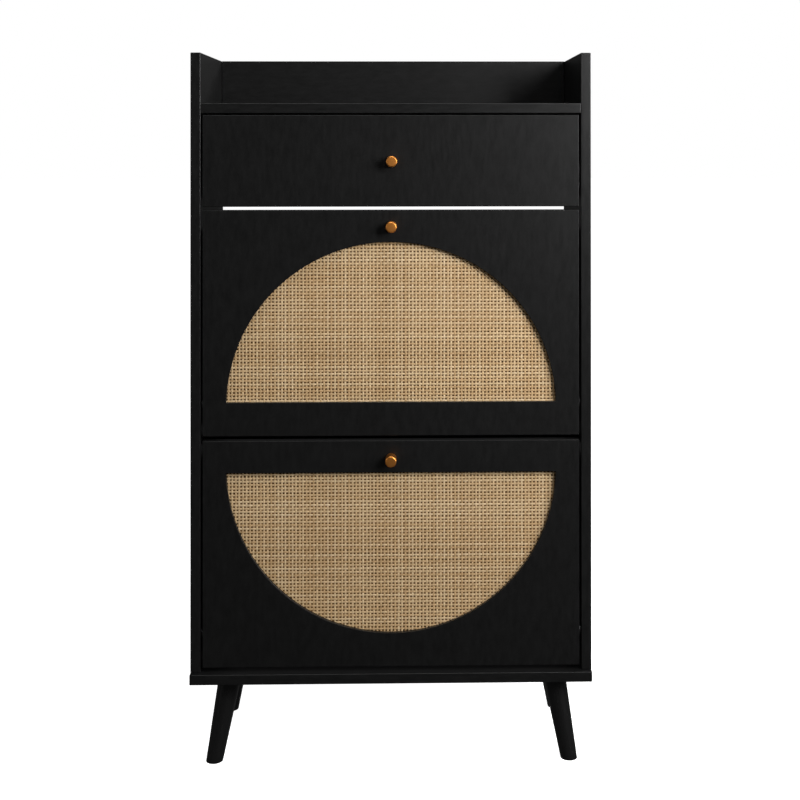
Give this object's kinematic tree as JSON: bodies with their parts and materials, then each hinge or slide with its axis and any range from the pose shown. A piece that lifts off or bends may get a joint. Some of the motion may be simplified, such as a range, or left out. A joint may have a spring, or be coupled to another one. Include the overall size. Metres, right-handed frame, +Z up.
{
  "type": "shoe cabinet",
  "caption": "Slim shoe cabinet on splayed legs, with a drawer, flip-down shoe racks behind woven half-moon doors, and a raised-edge top.",
  "frame": {"origin": "on the floor, in the middle of the overall width and depth (depth counted from the knobs' faces to the rear edges of the side panels)", "axes": "+X to the right seen from the front, +Y from the front to the back, +Z up"},
  "size_m": [0.6, 0.253, 1.066],
  "materials": {
    "black_laminate": "black laminated board with a fine wood grain, satin",
    "black_wood": "black lacquered wood, satin",
    "rattan_webbing": "open square weave of split cane, natural, matt",
    "brown_hardboard": "brown hardboard, matt",
    "brushed_gold": "brushed rose gold",
    "zinc_steel": "bright zinc plate",
    "black_steel": "black paint, satin",
    "black_plastic": "moulded, matt"
  },
  "bodies": {
    "carcass": {"base_panel": "black_laminate", "side_panel_left": "black_laminate", "side_panel_right": "black_laminate", "middle_shelf": "black_laminate", "top_shelf": "black_laminate", "gallery_back": "black_laminate", "lower_rear_rail": "black_laminate", "upper_rear_rail": "black_laminate", "leg_front_left": "black_wood", "leg_front_right": "black_wood", "leg_rear_left": "black_wood", "leg_rear_right": "black_wood", "leg_plate_front_left": "black_steel", "leg_plate_front_right": "black_steel", "leg_plate_rear_left": "black_steel", "leg_plate_rear_right": "black_steel", "lower_pivot_pin_left": "zinc_steel", "lower_stop_pin_left": "zinc_steel", "lower_pivot_pin_right": "zinc_steel", "lower_stop_pin_right": "zinc_steel", "upper_pivot_pin_left": "zinc_steel", "upper_stop_pin_left": "zinc_steel", "upper_pivot_pin_right": "zinc_steel", "upper_stop_pin_right": "zinc_steel", "slide_outer_left": "zinc_steel", "slide_outer_right": "zinc_steel"},
    "slide_cages": {"slide_cage_left": "zinc_steel", "slide_cage_right": "zinc_steel"},
    "drawer": {"drawer_front": "black_laminate", "drawer_side_left": "black_laminate", "drawer_side_right": "black_laminate", "drawer_back": "black_laminate", "drawer_bottom": "brown_hardboard", "drawer_knob": "brushed_gold", "drawer_knob_screw": "zinc_steel", "slide_inner_left": "zinc_steel", "slide_inner_right": "zinc_steel"},
    "upper_flip": {"upper_door": "black_laminate", "upper_webbing": "rattan_webbing", "upper_backing": "brown_hardboard", "upper_door_knob": "brushed_gold", "upper_door_knob_screw": "zinc_steel", "upper_rack_side_left": "black_plastic", "upper_rack_side_right": "black_plastic", "upper_front_sole_board": "black_laminate", "upper_front_toe_board": "black_laminate", "upper_rear_sole_board": "black_laminate", "upper_rear_toe_board": "black_laminate"},
    "lower_flip": {"lower_door": "black_laminate", "lower_webbing": "rattan_webbing", "lower_backing": "brown_hardboard", "lower_door_knob": "brushed_gold", "lower_door_knob_screw": "zinc_steel", "lower_rack_side_left": "black_plastic", "lower_rack_side_right": "black_plastic", "lower_front_sole_board": "black_laminate", "lower_front_toe_board": "black_laminate", "lower_rear_sole_board": "black_laminate", "lower_rear_toe_board": "black_laminate"}
  },
  "joints": [
    {"name": "drawer_slide", "type": "slide", "parent": "carcass", "child": "drawer", "axis": [0, -1, 0], "range_m": [0, 0.15]},
    {"name": "cage_slide", "type": "slide", "parent": "carcass", "child": "slide_cages", "axis": [0, -1, 0], "range_m": [0, 0.075]},
    {"name": "upper_flip_hinge", "type": "hinge", "parent": "carcass", "child": "upper_flip", "pos_m": [0, -0.0825, 0.537], "axis": [1, 0, 0], "range_deg": [0, 45]},
    {"name": "lower_flip_hinge", "type": "hinge", "parent": "carcass", "child": "lower_flip", "pos_m": [0, -0.0825, 0.192], "axis": [1, 0, 0], "range_deg": [0, 45]}
  ],
  "couplings": [
    {"joint": "cage_slide", "follows": "drawer_slide", "ratio": 0.5}
  ]
}
